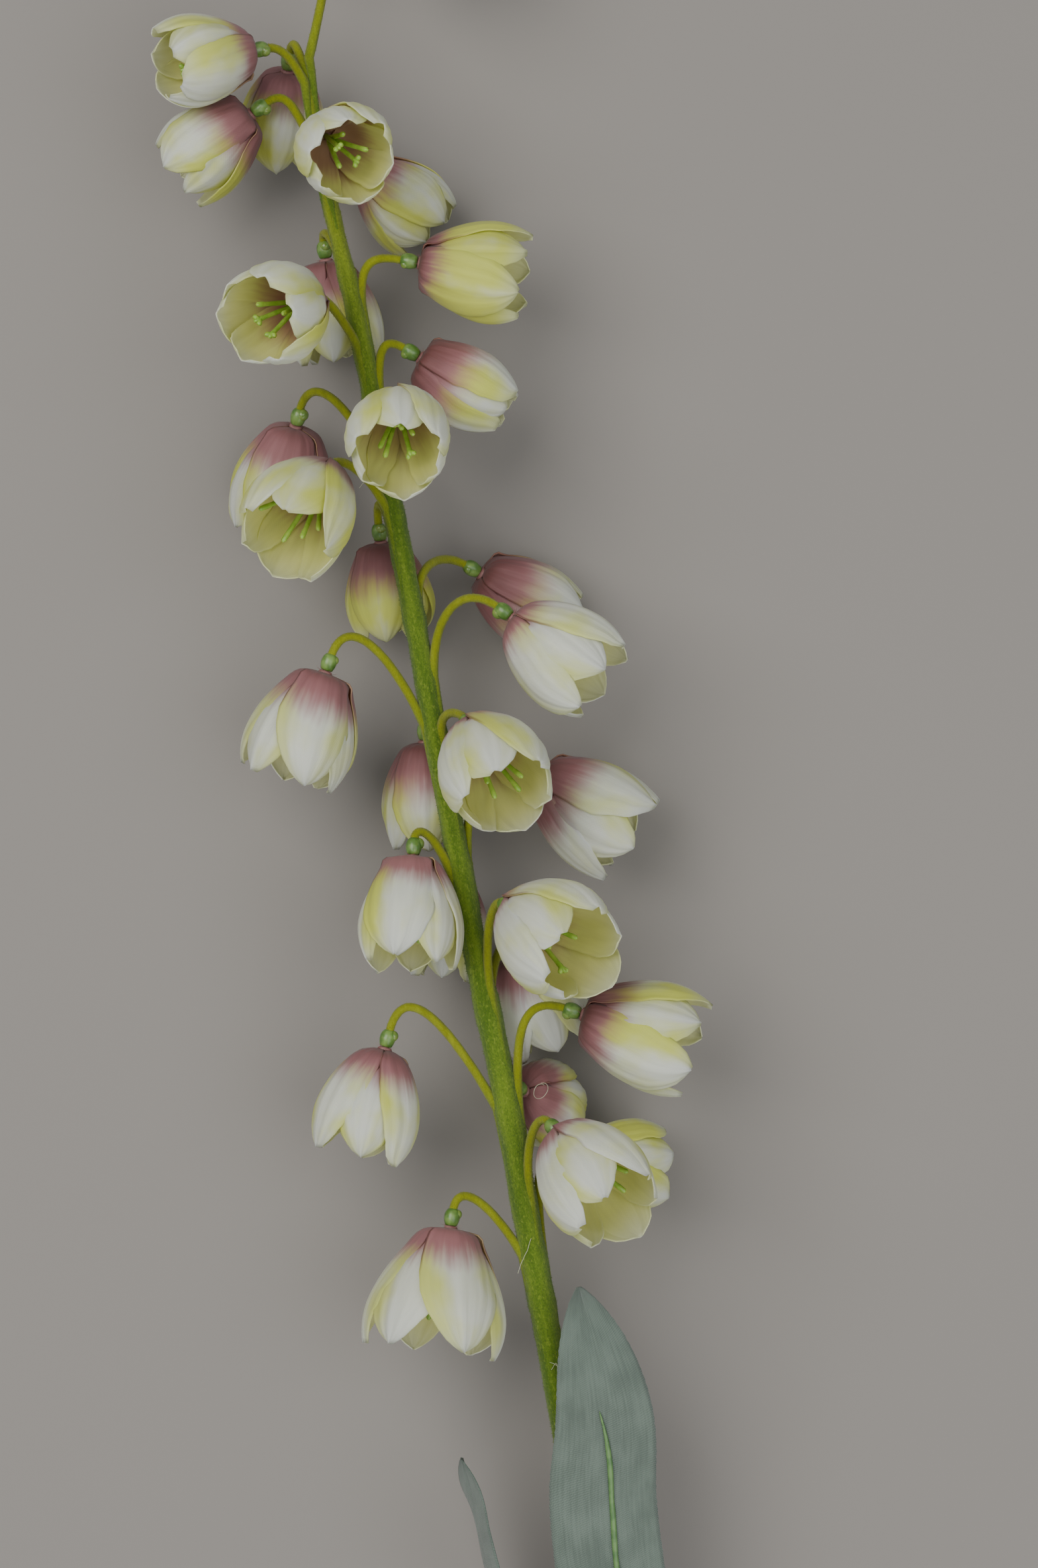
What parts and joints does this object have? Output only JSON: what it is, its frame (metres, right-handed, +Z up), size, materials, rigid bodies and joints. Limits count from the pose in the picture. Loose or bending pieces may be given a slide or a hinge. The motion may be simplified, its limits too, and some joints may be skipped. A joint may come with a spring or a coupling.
{
  "type": "artificial fritillary flower stem",
  "caption": "Tall artificial fritillary stem lying down: a flocked green stem with nodding cream and mauve fabric bells on arched stalks, and long grey-green leaves.",
  "frame": {"origin": "on the surface the flower lies on, below the middle of its bounding box", "axes": "+Y along the stem from its cut end to its tip, +Z up off the surface, +X to the right for someone looking down with the tip away from them"},
  "size_m": [0.1014, 0.6778, 0.0749],
  "materials": {
    "stem": "fine green flock over plastic, mottled yellow-green; glossy jade beads and stamens",
    "petals": "pressed satin weave, cream and pale yellow, dusty mauve towards the base",
    "leaf": "grey-green twill weave with darker streaks",
    "leaf_rib": "light green coated wire"
  },
  "bodies": {
    "root": {"stem": "stem", "corolla_01": "petals", "corolla_02": "petals", "corolla_03": "petals", "corolla_04": "petals", "corolla_05": "petals", "corolla_06": "petals", "corolla_07": "petals", "corolla_08": "petals", "corolla_09": "petals", "corolla_10": "petals", "corolla_11": "petals", "corolla_12": "petals", "corolla_13": "petals", "corolla_14": "petals", "corolla_15": "petals", "corolla_16": "petals", "corolla_17": "petals", "corolla_18": "petals", "corolla_19": "petals", "corolla_20": "petals", "corolla_21": "petals", "corolla_22": "petals", "corolla_23": "petals", "corolla_24": "petals", "corolla_25": "petals", "corolla_26": "petals", "corolla_27": "petals", "corolla_28": "petals", "corolla_29": "petals", "corolla_30": "petals", "leaf_front": "leaf", "leaf_front_rib": "leaf_rib", "leaf_left": "leaf", "leaf_left_rib": "leaf_rib"}
  },
  "joints": []
}
